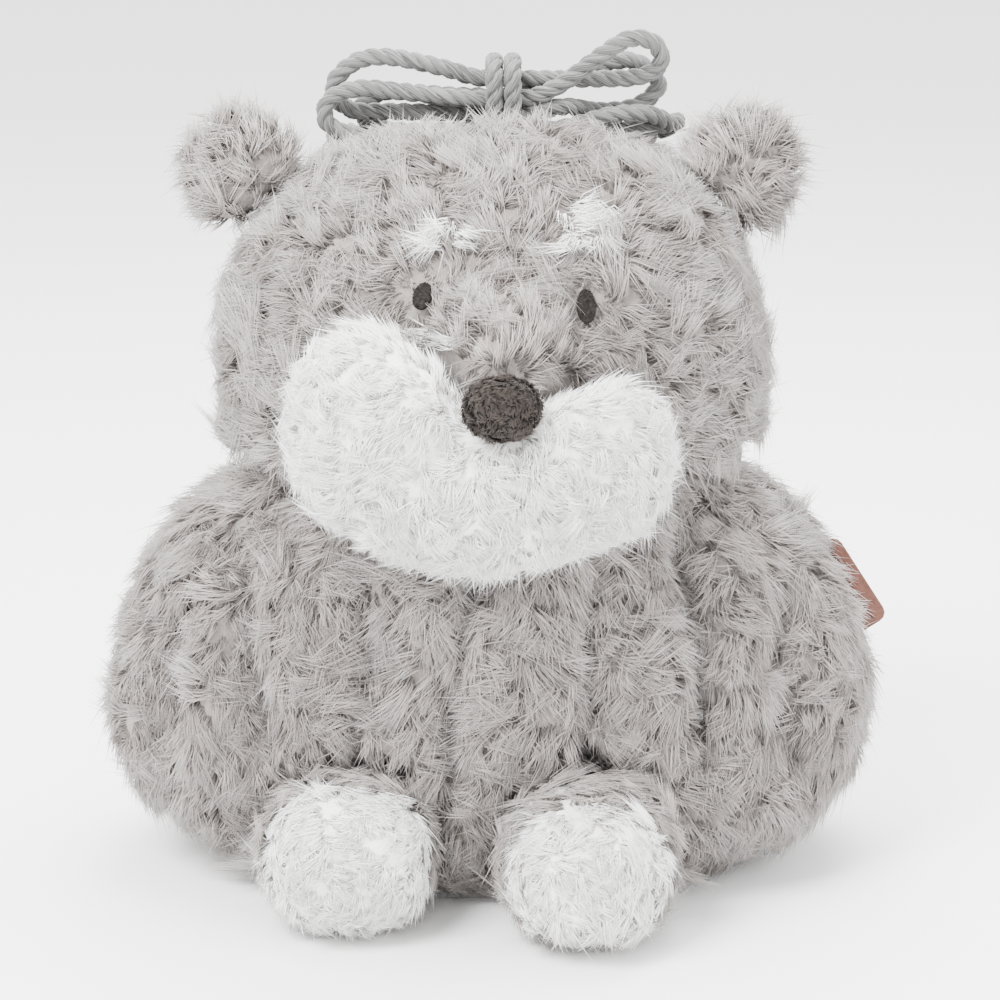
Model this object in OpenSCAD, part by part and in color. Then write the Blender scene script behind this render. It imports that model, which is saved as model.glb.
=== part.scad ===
// Sitting plush dog: a stuffed pear-shaped body, a wide round head on a ball-shaped neck,
// short front legs with white paws, and a drawn-up crown closed by a tied cotton cord.
// Every soft piece is a star-shaped solid: along each ray from its centre it reaches as
// far as the first surface of its own outline. All sizes are in millimetres.

/* [Body] */
// Half width of the body at its widest
body_rx = 112; // [100:1:125]
// Half depth of the body
body_ry = 68; // [62:1:74]
// Height of the body's widest level
body_waist_z = 50; // [44:1:56]
// Rise of the body from its widest level to its (covered) top
body_rise = 78; // [76:1:78]
// Thickness of the body's pile fabric and backing
body_cloth = 3; // [2:0.5:4]
// Thickness of the flat base panel
base_t = 2.5; // [2:0.5:3]

/* [Neck] */
// Height of the neck ball's centre
neck_z = 85; // [84:1:86]
// Radius of the neck ball under the head
neck_r = 72; // [70:1:73]
// Height of the head's lower edge at the sides
lip_z = 123.5; // [123:0.5:126]

/* [Head] */
// Half width of the head
head_rx = 81; // [78:1:84]
// Half depth of the head
head_ry = 62; // [60:1:64]
// Height of the head's widest level
head_z = 150; // [148:1:152]
// Rise of the head above its widest level
head_rise = 76; // [74:1:78]
// Thickness of the head's pile fabric and backing
head_cloth = 3; // [2:0.5:4]

/* [Face] */
// Half width of each muzzle lobe
lobe_rx = 29; // [27:1:30]
// Half width of the nose pad
nose_rx = 11; // [9:1:12]
// Half width of an embroidered eye
eye_rx = 3.5; // [3:0.5:4]
// Half width of a brow patch
brow_rx = 9; // [7:1:10]

/* [Ears] */
// Half width of each ear along its fold line
ear_r = 16.5; // [15:0.5:17]
// How far each ear stands out beyond its fold line
ear_reach = 21; // [18:1:22]
// Half thickness of each ear
ear_half_t = 8; // [6.5:0.5:8]

/* [Legs] */
// Half width of each front leg
leg_rx = 25; // [22:1:26]
// Half height of each front leg
leg_rz = 22; // [20:1:22]
// Length of the left leg in front of its hip
left_leg_reach = 30; // [26:1:34]
// Length of the right leg in front of its hip
right_leg_reach = 43; // [38:1:46]
// How far the left leg's white paw reaches back, in degrees from its tip
left_paw_angle = 66; // [55:1:75]
// How far the right leg's white paw reaches back, in degrees from its tip
right_paw_angle = 42; // [36:1:60]

/* [Tail] */
// Radius of the tail's root
tail_r = 11; // [9:1:12]
// Length of the tail behind its root
tail_reach = 23; // [18:1:26]

/* [Side tag] */
// Length of the folded tag along the seam
tag_len = 30; // [26:1:32]
// How far the folded tag stands out of the seam
tag_out = 6.5; // [5:0.5:8]
// Thickness of the folded tag
tag_t = 1.4; // [1.2:0.1:1.6]

/* [Drawstring] */
// Diameter of the twisted cotton cord
cord_d = 5.2; // [4.8:0.1:5.2]
// Half length of the gathered channel at the crown
casing_rx = 46; // [44:1:48]
// Thickness of the gathered channel
casing_t = 7; // [6:0.5:7]

/* [Hidden] */
$fn = 48;
gap = 0.4;                     // clearance between neighbouring pieces
cover_t = 2.5;                 // cloth of the small pieces
FAR = 400;                     // longer than any ray inside the toy
STEPS = 15;                    // halvings that find where a ray leaves a shape

neck_c = [0, 0, neck_z];
body_c = [0, 0, 60];           // rays of the body start here
head_c = [0, 0, 182];          // rays of the head start here
muzzle_c = [-3, -75, 141];     // rays of the muzzle start here
left_hip = [-41, -64, 22.5];
right_hip = [28, -64, 22.5];
tail_root = [0, 66, 36];
leg_room = 2.8;                // the leg holes are this much larger than half a leg
tail_room = 2.2;               // the tail hole is this much larger than the tail's root
ear_height = ear_half_t + 0.8; // the ear's fold line stands this far off the head
left_fold = [-64.5, 3, 199.3] + ear_height * [-0.71, 0, 0.71];
right_fold = [64.5, 3, 199.3] + ear_height * [0.71, 0, 0.71];
eye_at = [[-19, -57.3, 182], [26.5, -57.3, 179]];
eye_half = [eye_rx, 3, 4.5];
brow_at = [[-12, -50, 199.5], [25, -47.2, 201.5]];
brow_half = [brow_rx, 4, 6.5];
nose_at = [3, -95, 158];
nose_half = [nose_rx, 8, 9];
bridge_at = [3, -58, 167];
bridge_half = [18, 31, 20];
bridge_c = [3, -74, 168];      // rays of the bridge start here
left_lobe = [-29, -67, 147];
right_lobe = [23, -67, 140];
chin_at = [-3, -70, 133];
sewn_gap = 1.2;                // between a sewn-on face piece and the head under it
fill_gap = 6;                  // from a cover's outside to the stuffing of a large part
trough_at = [0, 23, 230];      // the hollow of the crown, cut into the top of the head
trough_half = [80, 35, 24];
casing_at = [0, 26];
casing_ry = 9;
cord_rest = 1.2;               // the gathered channel lies this far above the hollow
tag_seam = [107.5, 0, 83];     // middle of the tag's sewn edge
tag_tilt = -33;
tag_root = 1.6;                // the tag starts this far outside the seam
grey_fur = [0.79, 0.76, 0.74];
back_fur = [0.77, 0.74, 0.72];
white_fur = [0.97, 0.97, 0.95];
fibre = [0.96, 0.96, 0.94];

// The cord's two strands leave the channel's right end, run to the left curl, back through
// the wrap to a loop on the right, and return to the wrap.
cord_first = [
    [49.5, 26, 216.5], [53, 17, 219.5], [46, 8, 224], [35, 5, 224], [22, 5, 220.5], [10, 5, 219],
    [-8, 5, 218.8], [-26, 4, 217.3], [-41, 4, 218.2], [-48.5, 4, 222.5], [-47, 4, 229],
    [-38, 4, 232], [-24, 5, 230.6], [-9, 5, 229], [10, 5, 229], [20, 4, 233],
    [31, 3, 241], [40, 3, 246.5], [47.5, 5, 245], [49.5, 9, 238.5], [43, 11, 234.5],
    [30, 10.5, 234], [19, 10.5, 234], [10, 10.5, 234], [-4, 10.3, 234.4], [-14, 9.5, 237.3],
    [-30, 9.5, 240.5], [-40, 10, 239], [-46.5, 11, 232], [-42, 11.5, 225], [-28, 11, 224.3],
    [-9, 10.5, 224], [6, 10.5, 224]
];
cord_second = [
    [49.5, 33, 216.5], [55.5, 22, 220], [48, 14, 219.5], [35, 11, 218.8], [22, 10.5, 218.9],
    [10, 10.5, 219], [-8, 10.5, 218.9], [-24, 16, 217.8], [-34.5, 18, 219], [-39, 18, 224.5],
    [-32, 17, 229.3], [-20, 12, 229.6], [-9, 10.5, 229], [10, 10.5, 229], [20, 16, 232],
    [31, 17, 237], [42, 17, 238.5], [49.5, 17, 232], [43.5, 17, 225.5], [32.5, 16.5, 223.8],
    [21, 6.5, 226.3], [10, 5, 224], [6, 5, 224]
];
wrap_x = [0.8, 6.2];           // the two turns of the wrap lie side by side
wrap_mid = [7.75, 226.5];      // their middle, as y and z
wrap_half = [3.4, 7.8];        // straight half lengths of a turn, as y and z
wrap_bend = 4.9;               // radius of its four corners

// ---- outlines: each says whether a point is inside, at some depth t under its surface ----
function power(x, n) = pow(abs(x), n);
function dome(p, c, r, n) =
    power((p.x - c.x) / r.x, n) + power((p.y - c.y) / r.y, n) + power((p.z - c.z) / r.z, n);
// A rounded body whose level sections have exponent q and whose upright ones have exponent n
function round_body(p, c, r, q, n) =
    pow(power((p.x - c.x) / r.x, q) + power((p.y - c.y) / r.y, q), n / q)
    + power((p.z - c.z) / r.z, n);

function in_pear(p, t = 0) =
    let (low = p.z < body_waist_z, rise = low ? body_waist_z + 8 : body_rise)
    round_body(p, [0, 0, body_waist_z], [body_rx - t, body_ry - t, rise - t], 2.2,
               low ? 2.3 : 2.6) < 1;

function in_neck_ball(p, extra) = norm(p - neck_c) < neck_r + extra;

function in_body(p) = p.z > 0 && (in_pear(p) || in_neck_ball(p, 0));
function in_body_core(p) =
    p.z > base_t + gap && p.z < neck_z + 12 && (in_pear(p, fill_gap) || in_neck_ball(p, -fill_gap));

function in_trough(p, t = 0) = dome(p, trough_at, trough_half + [t, t, t], 2) < 1;
function in_bridge(p, t = 0) = dome(p, bridge_at, bridge_half + [t, t, t], 2) < 1;
function in_head_dome(p, t = 0) =
    let (low = p.z < head_z, rise = low ? 74 : head_rise)
    round_body(p, [0, 0, head_z], [head_rx + t, head_ry + t, rise + t], 2.6,
               low ? 2.6 : 2.2) < 1;

function in_head(p) = in_head_dome(p) && !in_trough(p);
function in_head_core(p) =
    p.z > lip_z + 3 && in_head_dome(p, -fill_gap) && !in_trough(p, fill_gap);

function in_muzzle(p, t = 0) =
    (dome(p, left_lobe, [lobe_rx - t, 29 - t, 32 - t], 2.2) < 1
     || dome(p, right_lobe, [lobe_rx - t, 29 - t, 28 - t], 2.2) < 1
     || dome(p, chin_at, [46 - t, 26 - t, 27 - t], 2.2) < 1)
    && !in_head_dome(p, sewn_gap + t) && !in_bridge(p, sewn_gap + t)
    && !in_neck_ball(p, sewn_gap + t);
function in_bridge_piece(p) = in_bridge(p) && !in_head_dome(p, 0.6);

function in_nose(p) =
    dome(p, nose_at, nose_half, 2.3) < 1 && !in_head_dome(p) && !in_bridge(p, 0.3)
    && !in_muzzle(p, -0.3);

function in_patch(p, c, r) = dome(p, c, r, 2) < 1 && !in_head_dome(p, 0.1) && !in_bridge(p, 0.1);

// An ear is round above its fold line and shallow below it; side is -1 left, 1 right.
function ear_axes(side) = [[0.71 * side, 0, 0.71], [-0.71, 0, 0.71 * side], [0, 1, 0]];
function in_ear(p, fold, side) =
    let (a = ear_axes(side), q = a * (p - fold), r = q.x > 0 ? ear_reach : ear_half_t - 0.2)
    dome(q, [0, 0, 0], [r, ear_r, ear_half_t - 0.2], 2.2) < 1;

// A leg and the tail are round behind their hinge and longer in front of it.
function in_leg(p, hip, reach) =
    let (front = p.y < hip.y, n = front ? 2.6 : 2)
    p.z > 0.4 && dome(p, hip, [leg_rx, front ? reach : leg_rz, leg_rz], n) < 1;
function in_tail(p) =
    let (behind = p.y > tail_root.y)
    dome(p, tail_root, [tail_r, behind ? tail_reach : tail_r, tail_r], behind ? 2.5 : 2) < 1;

// ---- rays ----
UP = [[1, 0, 0], [0, 1, 0], [0, 0, 1]];
FRONT = [[1, 0, 0], [0, 0, 1], [0, -1, 0]];    // the pole points to the front
function ray(axes, around, from_pole) =
    [sin(from_pole) * cos(around), sin(from_pole) * sin(around), cos(from_pole)] * axes;

// Distance from c along d to the outline, by halving the stretch that holds it
function halve(c, d, near, far, n, inside) =
    let (mid = (near + far) / 2)
    n == 0 ? near
    : inside(c + mid * d) ? halve(c, d, mid, far, n - 1, inside)
    : halve(c, d, near, mid, n - 1, inside);
// The first 3 mm step outside comes first, so that a ray stops at the nearest surface
function leave(c, d, r, inside) =
    r > FAR || !inside(c + r * d) ? r : leave(c, d, r + 3, inside);
function reach(c, d, inside) =
    let (r = leave(c, d, 1, inside)) halve(c, d, max(r - 3, 0), r, STEPS, inside);

// ---- solids ----
// A grid of points on a closed or open patch, wrapped and stitched into one solid. With
// cloth > 0 the patch is a shell of that thickness, and otherwise it is a full solid.
module soft(c, axes, inside, cloth, inset = 0, around = [0, 360], pole = [0, 180], na = 32, np = 16) {
    full_turn = around[1] - around[0] >= 360;
    cols = full_turn ? na : na + 1;
    turns = [for (i = [0:cols - 1]) around[0] + (around[1] - around[0]) * i / na];
    tilts = [for (j = [0:np]) pole[0] + (pole[1] - pole[0]) * j / np];
    dirs = [for (t = tilts) [for (a = turns) ray(axes, a, t)]];
    depth = [for (row = dirs) [for (d = row) reach(c, d, inside) - inset]];
    outer = [for (j = [0:np]) for (i = [0:cols - 1]) c + dirs[j][i] * depth[j][i]];
    inner = [for (j = [0:np]) for (i = [0:cols - 1]) c + dirs[j][i] * (depth[j][i] - cloth)];
    start_pole = pole[0] == 0;
    end_pole = pole[1] == 180;
    shell = cloth > 0;
    size = cols * (np + 1);
    function at(layer, j, i) =
        layer * size + j * cols
        + ((j == 0 && start_pole) || (j == np && end_pole) ? 0 : i % cols);
    function tri(a, b, d) = a == b || b == d || a == d ? [] : [[a, b, d]];
    function quad(a, b, d, e) = concat(tri(a, b, d), tri(a, d, e));
    last = full_turn ? cols - 1 : cols - 2;
    skin = [for (j = [0:np - 1]) for (i = [0:last])
        each quad(at(0, j, i), at(0, j, i + 1), at(0, j + 1, i + 1), at(0, j + 1, i))];
    lining = [for (j = [0:np - 1]) for (i = [0:last])
        each quad(at(1, j, i), at(1, j + 1, i), at(1, j + 1, i + 1), at(1, j, i + 1))];
    top_rim = start_pole ? [] : [for (i = [0:last])
        each quad(at(0, 0, i), at(1, 0, i), at(1, 0, i + 1), at(0, 0, i + 1))];
    end_rim = end_pole ? [] : [for (i = [0:last])
        each quad(at(0, np, i), at(0, np, i + 1), at(1, np, i + 1), at(1, np, i))];
    sides = full_turn ? [] : [for (j = [0:np - 1]) each concat(
        quad(at(0, j, 0), at(0, j + 1, 0), at(1, j + 1, 0), at(1, j, 0)),
        quad(at(0, j, cols - 1), at(1, j, cols - 1), at(1, j + 1, cols - 1),
             at(0, j + 1, cols - 1)))];
    polyhedron(
        points = shell ? concat(outer, inner) : outer,
        faces = shell ? concat(skin, lining, top_rim, end_rim, sides) : skin
    );
}

// A round tube along a route
function unit(v) = v / norm(v);
// Each ring's side vector is the last ring's, turned no more than the route turns
function carried(dirs, i, v) =
    i >= len(dirs) ? [] : let (u = unit(v - (v * dirs[i]) * dirs[i])) concat([u], carried(dirs, i + 1, u));

module tube(points, r, sides = 8, closed = false) {
    n = len(points);
    dirs = [for (i = [0:n - 1])
        unit(closed ? points[(i + 1) % n] - points[(i + n - 1) % n]
                    : points[min(i + 1, n - 1)] - points[max(i - 1, 0)])];
    side = carried(dirs, 0, closed ? [1, 0, 0] : [0, 0.3, 1]);
    rings = [for (i = [0:n - 1]) let (w = cross(dirs[i], side[i])) for (k = [0:sides - 1])
        points[i] + r * (cos(k * 360 / sides) * side[i] + sin(k * 360 / sides) * w)];
    walls = [for (i = [0:closed ? n - 1 : n - 2]) for (k = [0:sides - 1])
        let (a = i * sides + k, b = i * sides + (k + 1) % sides,
             a2 = (a + sides) % (n * sides), b2 = (b + sides) % (n * sides))
        each [[a, a2, b2], [a, b2, b]]];
    ends = closed ? [] : [
        [for (k = [0:sides - 1]) k],
        [for (k = [sides - 1:-1:0]) (n - 1) * sides + k]
    ];
    polyhedron(points = rings, faces = concat(walls, ends));
}

// The angle from the pole at which a panel's ray meets the level of its hem
function hem_angle(c, around, hem_z, inside) =
    let (r = reach([0, 0, hem_z], [cos(around), sin(around), 0], inside))
    180 - atan2(r, c.z - hem_z);

// A shell whose rays fan out from the pole to its hem, so its lower edge is level
module hemmed_panel(c, inside, cloth, hem_z, from, to, na, np) {
    turns = [for (i = [0:na]) from + (to - from) * i / na];
    ends = [for (a = turns) hem_angle(c, a, hem_z, inside)];
    dirs = [for (j = [0:np]) [for (i = [0:na]) ray(UP, turns[i], ends[i] * j / np)]];
    depth = [for (row = dirs) [for (d = row) reach(c, d, inside)]];
    cols = na + 1;
    size = cols * (np + 1);
    outer = [for (j = [0:np]) for (i = [0:na]) c + dirs[j][i] * depth[j][i]];
    inner = [for (j = [0:np]) for (i = [0:na])
        let (p = c + dirs[j][i] * (depth[j][i] - cloth)) [p.x, p.y, max(p.z, hem_z)]];
    function at(layer, j, i) = layer * size + (j == 0 ? 0 : j * cols + i);
    function tri(a, b, d) = a == b || b == d || a == d ? [] : [[a, b, d]];
    function quad(a, b, d, e) = concat(tri(a, b, d), tri(a, d, e));
    faces = [for (j = [0:np - 1]) for (i = [0:na - 1]) each concat(
        quad(at(0, j, i), at(0, j, i + 1), at(0, j + 1, i + 1), at(0, j + 1, i)),
        quad(at(1, j, i), at(1, j + 1, i), at(1, j + 1, i + 1), at(1, j, i + 1)))];
    hem = [for (i = [0:na - 1])
        each quad(at(0, np, i), at(0, np, i + 1), at(1, np, i + 1), at(1, np, i))];
    seams = [for (j = [0:np - 1]) each concat(
        quad(at(0, j, 0), at(0, j + 1, 0), at(1, j + 1, 0), at(1, j, 0)),
        quad(at(0, j, na), at(1, j, na), at(1, j + 1, na), at(0, j + 1, na)))];
    polyhedron(points = concat(outer, inner), faces = concat(faces, hem, seams));
}

// ---- body ----
// The holes in the body's cover and filling that the legs and the tail are sewn into
module limb_holes() {
    for (hip = [left_hip, right_hip]) translate(hip) sphere(leg_rx + leg_room);
    translate(tail_root) sphere(tail_r + tail_room);
}

module body_panel(from, to) {
    difference() {
        hemmed_panel(body_c, function (p) in_body(p), body_cloth, base_t + gap, from, to, 28, 17);
        limb_holes();
    }
}

module body_front_panel() { color(grey_fur) body_panel(180.2, 359.8); }
module body_back_panel() { color(back_fur) body_panel(0.2, 179.8); }

module base_panel() {
    edge = [for (a = [0:7.5:352.5])
        let (d = [cos(a), sin(a), 0], r = reach([0, 0, 1], d, function (p) in_body(p)))
        [d.x, d.y] * (r - gap)];
    color([0.66, 0.63, 0.61]) linear_extrude(base_t) polygon(edge);
}

module body_filling() {
    color(fibre) difference() {
        soft(body_c, UP, function (p) in_body_core(p), 0, na = 36, np = 18);
        limb_holes();
    }
}

// The stuffing that goes on up through the neck, rounded under the head
module neck_filling() {
    core_r = neck_r - body_cloth - 1.5;
    color([0.95, 0.95, 0.93]) intersection() {
        translate(neck_c) sphere(core_r);
        translate([0, 0, neck_z + 12.8 + core_r / 2]) cube([200, 200, core_r], center = true);
    }
}

// ---- head ----
// The head's cover is open below, where it is gathered round the neck.
module head_panel(from, to) {
    difference() {
        hemmed_panel(head_c, function (p) in_head(p), head_cloth, lip_z, from, to, 26, 18);
        translate(neck_c) sphere(neck_r + gap + 0.3);
    }
}

module head_front_panel() { color(grey_fur) head_panel(180.2, 359.8); }
module head_back_panel() { color(back_fur) head_panel(0.2, 179.8); }

module head_filling() {
    color(fibre) difference() {
        soft(head_c, UP, function (p) in_head_core(p), 0, na = 32, np = 18);
        translate(neck_c) sphere(neck_r + gap + 0.8);
    }
}

// ---- face ----
// The muzzle's cover is open behind, where it is sewn to the face.
module muzzle_cover() {
    color(white_fur)
    soft(muzzle_c, FRONT, function (p) in_muzzle(p), cover_t, pole = [0, 120], na = 32, np = 14);
}

module muzzle_filling() {
    color([0.94, 0.94, 0.92])
    soft(muzzle_c, FRONT, function (p) in_muzzle(p, cover_t + 3), 0, na = 24, np = 12);
}

// The grey wedge between the muzzle's lobes, from the forehead down to the nose
module muzzle_bridge() {
    color(grey_fur)
    soft(bridge_c, FRONT, function (p) in_bridge_piece(p), 0, na = 20, np = 12);
}

module nose() {
    color([0.33, 0.28, 0.26])
    soft(nose_at, FRONT, function (p) in_nose(p), 0, na = 20, np = 10);
}

module eye(at) {
    color([0.25, 0.22, 0.21])
    soft(at, FRONT, function (p) in_patch(p, at, eye_half), 0, na = 14, np = 7);
}

module brow(at) {
    color(white_fur)
    soft(at, FRONT, function (p) in_patch(p, at, brow_half), 0, na = 16, np = 8);
}

module left_eye() { eye(eye_at[0]); }
module right_eye() { eye(eye_at[1]); }
module left_brow() { brow(brow_at[0]); }
module right_brow() { brow(brow_at[1]); }

// ---- ears ----
module ear_panel(fold, side, from, to, shade) {
    color(shade)
    soft(fold, UP, function (p) in_ear(p, fold, side), cover_t, around = [from, to], na = 10, np = 12);
}

module ear_filling(fold, side) {
    color(fibre)
    soft(fold, UP, function (p) in_ear(p, fold, side), 0, inset = cover_t + gap, na = 16, np = 8);
}

module left_ear_front() { ear_panel(left_fold, -1, 181, 359, grey_fur); }
module left_ear_back() { ear_panel(left_fold, -1, 1, 179, back_fur); }
module left_ear_filling() { ear_filling(left_fold, -1); }
module right_ear_front() { ear_panel(right_fold, 1, 181, 359, grey_fur); }
module right_ear_back() { ear_panel(right_fold, 1, 1, 179, back_fur); }
module right_ear_filling() { ear_filling(right_fold, 1); }

// ---- legs ----
// The white paw covers the front of the leg as far as paw_angle from the front pole.
module leg_cover(hip, reach_out, from, to, shade) {
    color(shade)
    soft(hip, FRONT, function (p) in_leg(p, hip, reach_out), cover_t, pole = [from, to], na = 22, np = 9);
}

module leg_filling(hip, reach_out) {
    color(fibre)
    soft(hip, FRONT, function (p) in_leg(p, hip, reach_out), 0, inset = cover_t + gap, na = 18, np = 9);
}

module left_leg_cuff() { leg_cover(left_hip, left_leg_reach, left_paw_angle + 0.6, 180, grey_fur); }
module left_paw_cover() { leg_cover(left_hip, left_leg_reach, 0, left_paw_angle, white_fur); }
module left_leg_filling() { leg_filling(left_hip, left_leg_reach); }
module right_leg_cuff() { leg_cover(right_hip, right_leg_reach, right_paw_angle + 0.6, 180, grey_fur); }
module right_paw_cover() { leg_cover(right_hip, right_leg_reach, 0, right_paw_angle, white_fur); }
module right_leg_filling() { leg_filling(right_hip, right_leg_reach); }

// ---- tail ----
// The tail's cover is open in front, where it is sewn to the body.
module tail_cover() {
    color(grey_fur)
    soft(tail_root, FRONT, function (p) in_tail(p), cover_t, pole = [30, 180], na = 18, np = 10);
}

module tail_filling() {
    color(fibre)
    soft(tail_root, FRONT, function (p) in_tail(p), 0, inset = cover_t + gap, na = 14, np = 7);
}

// ---- side tag ----
// A strap folded double, with its sewn edge along the seam and rounded outer corners
module side_tag() {
    corner = 3;
    color([0.56, 0.36, 0.27])
    translate(tag_seam) rotate([0, tag_tilt, 0]) rotate([90, 0, 0])
    linear_extrude(tag_t, center = true) translate([tag_root, 0]) {
        translate([0, -tag_len / 2]) square([tag_out - corner, tag_len]);
        translate([0, corner - tag_len / 2]) square([tag_out, tag_len - 2 * corner]);
        for (end = [-1, 1]) translate([tag_out - corner, end * (tag_len / 2 - corner)]) circle(corner);
    }
}

// ---- drawstring ----
// Height of the crown's hollow, on which the gathered channel lies
function trough_floor(x, y) =
    trough_at.z - trough_half.z
    * sqrt(1 - pow((x - trough_at.x) / trough_half.x, 2) - pow((y - trough_at.y) / trough_half.y, 2));

module drawstring_casing() {
    ring = [for (a = [0:10:350])
        let (x = casing_rx * cos(a), y = casing_at.y + casing_ry * sin(a))
        [x, y, trough_floor(x, y) + casing_t / 2 + cord_rest]];
    color([0.72, 0.7, 0.69]) tube(ring, casing_t / 2, sides = 8, closed = true);
}

// The lining bunched in the closed mouth, inside the channel
module crown_lining() {
    color([0.85, 0.84, 0.82])
    for (x = [-24:8:24])
        translate([x, casing_at.y, trough_floor(x, casing_at.y) + 4.8])
        rotate([0, x / 6, 0]) cylinder(h = 6, r = 3.6, center = true);
}

module cord_first_strand() {
    color([0.74, 0.74, 0.73]) tube(cord_first, cord_d / 2);
}

module cord_second_strand() {
    color([0.72, 0.72, 0.71]) tube(cord_second, cord_d / 2);
}

module bow_wrap() {
    corners = [[1, 1, 0], [-1, 1, 90], [-1, -1, 180], [1, -1, 270]];
    color([0.76, 0.76, 0.75])
    for (x = wrap_x)
        tube([for (q = corners) for (a = [0:30:90])
            [x,
             wrap_mid[0] + q[0] * wrap_half[0] + wrap_bend * cos(q[2] + a),
             wrap_mid[1] + q[1] * wrap_half[1] + wrap_bend * sin(q[2] + a)]],
             cord_d / 2, closed = true);
}

body_front_panel();
body_back_panel();
base_panel();
body_filling();
neck_filling();
head_front_panel();
head_back_panel();
head_filling();
muzzle_cover();
muzzle_filling();
muzzle_bridge();
nose();
left_eye();
right_eye();
left_brow();
right_brow();
left_ear_front();
left_ear_back();
left_ear_filling();
right_ear_front();
right_ear_back();
right_ear_filling();
left_leg_cuff();
left_paw_cover();
left_leg_filling();
right_leg_cuff();
right_paw_cover();
right_leg_filling();
tail_cover();
tail_filling();
side_tag();
drawstring_casing();
crown_lining();
cord_first_strand();
cord_second_strand();
bow_wrap();
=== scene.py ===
"""The look of the sitting plush dog: its skins, pile, face, cord and small trim."""
import math

import bpy
import numpy as np
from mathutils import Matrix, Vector, noise
from mathutils.bvhtree import BVHTree
from mathutils.kdtree import KDTree


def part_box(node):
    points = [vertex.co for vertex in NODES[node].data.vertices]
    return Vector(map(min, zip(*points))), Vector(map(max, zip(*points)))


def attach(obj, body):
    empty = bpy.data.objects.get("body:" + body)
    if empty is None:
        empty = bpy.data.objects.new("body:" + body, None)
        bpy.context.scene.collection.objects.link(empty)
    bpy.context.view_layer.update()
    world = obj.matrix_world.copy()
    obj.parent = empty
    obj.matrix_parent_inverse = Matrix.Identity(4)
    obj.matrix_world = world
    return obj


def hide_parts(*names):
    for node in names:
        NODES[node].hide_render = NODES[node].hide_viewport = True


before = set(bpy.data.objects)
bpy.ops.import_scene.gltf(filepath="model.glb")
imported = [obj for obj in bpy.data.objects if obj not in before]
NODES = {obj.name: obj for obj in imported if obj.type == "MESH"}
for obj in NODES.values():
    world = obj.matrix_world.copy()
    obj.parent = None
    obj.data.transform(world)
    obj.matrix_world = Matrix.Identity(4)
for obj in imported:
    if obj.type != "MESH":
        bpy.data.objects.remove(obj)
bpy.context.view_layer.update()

MM = 0.001


def vec(*v):
    """A point or vector given in millimetres."""
    return np.array(v, float) * MM


# ---------------------------------------------------------------- camera and lights

AIM = vec(2.5, 0, 109)
VIEW_DISTANCE = 1.0
VIEW_ELEVATION = math.radians(14)
FRAME_WIDTH = 0.3              # metres across the picture at the aim point


def make_camera():
    data = bpy.data.cameras.new("camera")
    data.sensor_width = 36
    data.lens = 36 * VIEW_DISTANCE / FRAME_WIDTH
    data.clip_start = 0.05
    camera = bpy.data.objects.new("camera", data)
    bpy.context.scene.collection.objects.link(camera)
    back = Vector((0, -math.cos(VIEW_ELEVATION), math.sin(VIEW_ELEVATION)))
    camera.location = Vector(AIM) + back * VIEW_DISTANCE
    camera.rotation_euler = back.to_track_quat("Z", "Y").to_euler()
    bpy.context.scene.camera = camera


def softbox(name, place, aim, size, power):
    data = bpy.data.lights.new(name, "AREA")
    data.shape = "RECTANGLE"
    data.size, data.size_y = size
    data.energy = power
    lamp = bpy.data.objects.new(name, data)
    bpy.context.scene.collection.objects.link(lamp)
    lamp.location = place
    lamp.rotation_euler = (Vector(place) - Vector(aim)).to_track_quat("Z", "Y").to_euler()


def make_studio():
    world = bpy.data.worlds.new("studio")
    world.use_nodes = True
    world.node_tree.nodes["Background"].inputs["Color"].default_value = (1, 1, 1, 1)
    world.node_tree.nodes["Background"].inputs["Strength"].default_value = 2.9
    bpy.context.scene.world = world
    softbox("key", (-0.6, -0.8, 1.15), (0, 0, 0.12), (0.6, 0.6), 60)
    softbox("fill", (0.95, -0.6, 0.5), (0, 0, 0.12), (0.9, 0.9), 9)
    softbox("top", (0.1, 0.3, 1.1), (0, 0, 0.1), (0.8, 0.8), 34)
    bpy.ops.mesh.primitive_plane_add(size=6, location=(0, 0, -0.0004))
    floor = bpy.context.object
    floor.name = "floor"
    floor.data.materials.append(plain_floor())


# ---------------------------------------------------------------- materials

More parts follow.
